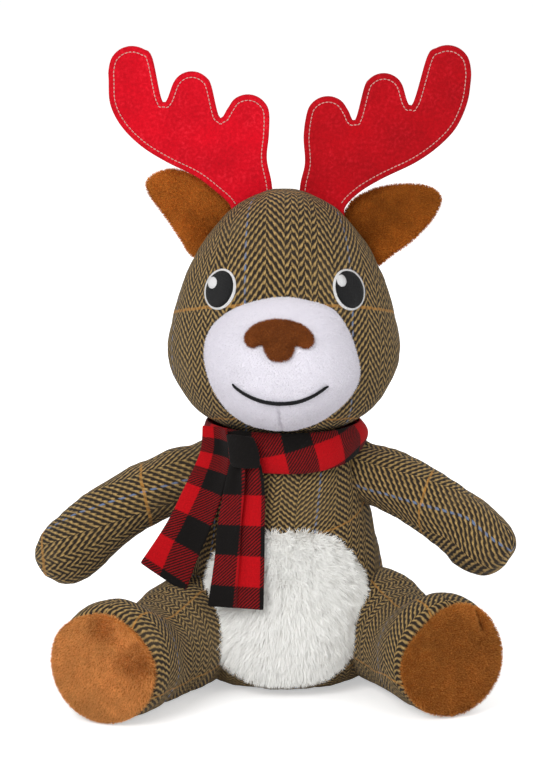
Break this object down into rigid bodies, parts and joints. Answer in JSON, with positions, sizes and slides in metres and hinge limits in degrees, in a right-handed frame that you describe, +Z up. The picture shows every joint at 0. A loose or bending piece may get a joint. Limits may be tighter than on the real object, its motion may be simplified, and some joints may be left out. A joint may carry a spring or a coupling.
{
  "type": "plush reindeer",
  "caption": "Sitting stuffed toy reindeer in tweed, with felt antlers, plush muzzle, belly and foot pads, embroidered eyes and a checked scarf.",
  "frame": {"origin": "middle of the flat seat under the body, on the surface that the toy sits on", "axes": "+Z up from the seat to the antlers, -Y the way that the toy faces, +X to its right as seen from the front"},
  "size_m": [0.2148, 0.139, 0.2873],
  "materials": {
    "tweed": "woven herringbone tweed, matt",
    "fibre_filling": "loose polyester fibre",
    "white_plush": "white plush, short on the muzzle and long on the belly",
    "brown_plush": "short brown plush",
    "red_felt": "needled felt, matt",
    "nose_felt": "brushed felt, matt",
    "black_thread": "embroidery thread, satin",
    "white_thread": "embroidery thread, satin",
    "checked_flannel": "brushed flannel in red and black checks"
  },
  "bodies": {
    "torso": {"body_cover": "tweed", "body_filling": "fibre_filling", "belly_patch": "white_plush", "scarf_neck_band": "checked_flannel"},
    "head": {"head_cover": "tweed", "head_filling": "fibre_filling", "muzzle_panel": "white_plush", "nose": "nose_felt", "mouth_stitch": "black_thread", "left_eye_rim": "white_thread", "left_eye_pupil": "black_thread", "left_eye_glint": "white_thread", "right_eye_rim": "white_thread", "right_eye_pupil": "black_thread", "right_eye_glint": "white_thread"},
    "left_ear": {"left_ear": "brown_plush"},
    "left_antler": {"left_antler_front": "red_felt", "left_antler_back": "red_felt"},
    "left_arm": {"left_arm_cover": "tweed", "left_arm_filling": "fibre_filling"},
    "left_leg": {"left_leg_cover": "tweed", "left_leg_filling": "fibre_filling", "left_foot_pad": "brown_plush"},
    "right_ear": {"right_ear": "brown_plush"},
    "right_antler": {"right_antler_front": "red_felt", "right_antler_back": "red_felt"},
    "right_arm": {"right_arm_cover": "tweed", "right_arm_filling": "fibre_filling"},
    "right_leg": {"right_leg_cover": "tweed", "right_leg_filling": "fibre_filling", "right_foot_pad": "brown_plush"},
    "scarf_front_tail": {"scarf_front_tail": "checked_flannel"},
    "scarf_left_tail": {"scarf_left_tail": "checked_flannel"}
  },
  "joints": [
    {"name": "neck_turn", "type": "hinge", "parent": "torso", "child": "head", "pos_m": [0, 0, 0.1159], "axis": [0, 0, 1], "range_deg": [-35, 35], "stiffness_Nm_per_rad": 0.25},
    {"name": "left_ear_fold", "type": "hinge", "parent": "head", "child": "left_ear", "pos_m": [-0.03307, 0.013, 0.2059], "axis": [-0.682, 0, -0.7314], "range_deg": [0, 45], "stiffness_Nm_per_rad": 0.02},
    {"name": "right_ear_fold", "type": "hinge", "parent": "head", "child": "right_ear", "pos_m": [0.03501, 0.013, 0.2034], "axis": [-0.4067, 0, 0.9135], "range_deg": [0, 45], "stiffness_Nm_per_rad": 0.02},
    {"name": "left_antler_bend", "type": "hinge", "parent": "head", "child": "left_antler", "pos_m": [-0.0135, 0.003, 0.2186], "axis": [1, 0, 0], "range_deg": [-15, 15], "stiffness_Nm_per_rad": 0.02},
    {"name": "right_antler_bend", "type": "hinge", "parent": "head", "child": "right_antler", "pos_m": [0.017, 0.003, 0.2186], "axis": [1, 0, 0], "range_deg": [-15, 15], "stiffness_Nm_per_rad": 0.02},
    {"name": "left_shoulder", "type": "hinge", "parent": "torso", "child": "left_arm", "pos_m": [-0.03242, 0, 0.0964], "axis": [-0.0523, 0.9986, 0], "range_deg": [-8, 40], "stiffness_Nm_per_rad": 0.15},
    {"name": "right_shoulder", "type": "hinge", "parent": "torso", "child": "right_arm", "pos_m": [0.03242, 0, 0.0964], "axis": [-0.5, -0.866, 0], "range_deg": [-8, 40], "stiffness_Nm_per_rad": 0.15},
    {"name": "left_hip", "type": "hinge", "parent": "torso", "child": "left_leg", "pos_m": [-0.036, -0.012, 0.0253], "axis": [-0.8387, 0.5446, 0], "range_deg": [-20, 3], "stiffness_Nm_per_rad": 0.3},
    {"name": "right_hip", "type": "hinge", "parent": "torso", "child": "right_leg", "pos_m": [0.036, 0.001, 0.0253], "axis": [-0.8829, -0.4695, 0], "range_deg": [-20, 3], "stiffness_Nm_per_rad": 0.3},
    {"name": "scarf_front_tail_lift", "type": "hinge", "parent": "torso", "child": "scarf_front_tail", "pos_m": [-0.015, -0.0292, 0.1066], "axis": [-1, 0, 0], "range_deg": [0, 50], "stiffness_Nm_per_rad": 0.02},
    {"name": "scarf_left_tail_lift", "type": "hinge", "parent": "torso", "child": "scarf_left_tail", "pos_m": [-0.034, -0.0174, 0.114], "axis": [-1, 0, 0], "range_deg": [0, 50], "stiffness_Nm_per_rad": 0.02}
  ]
}
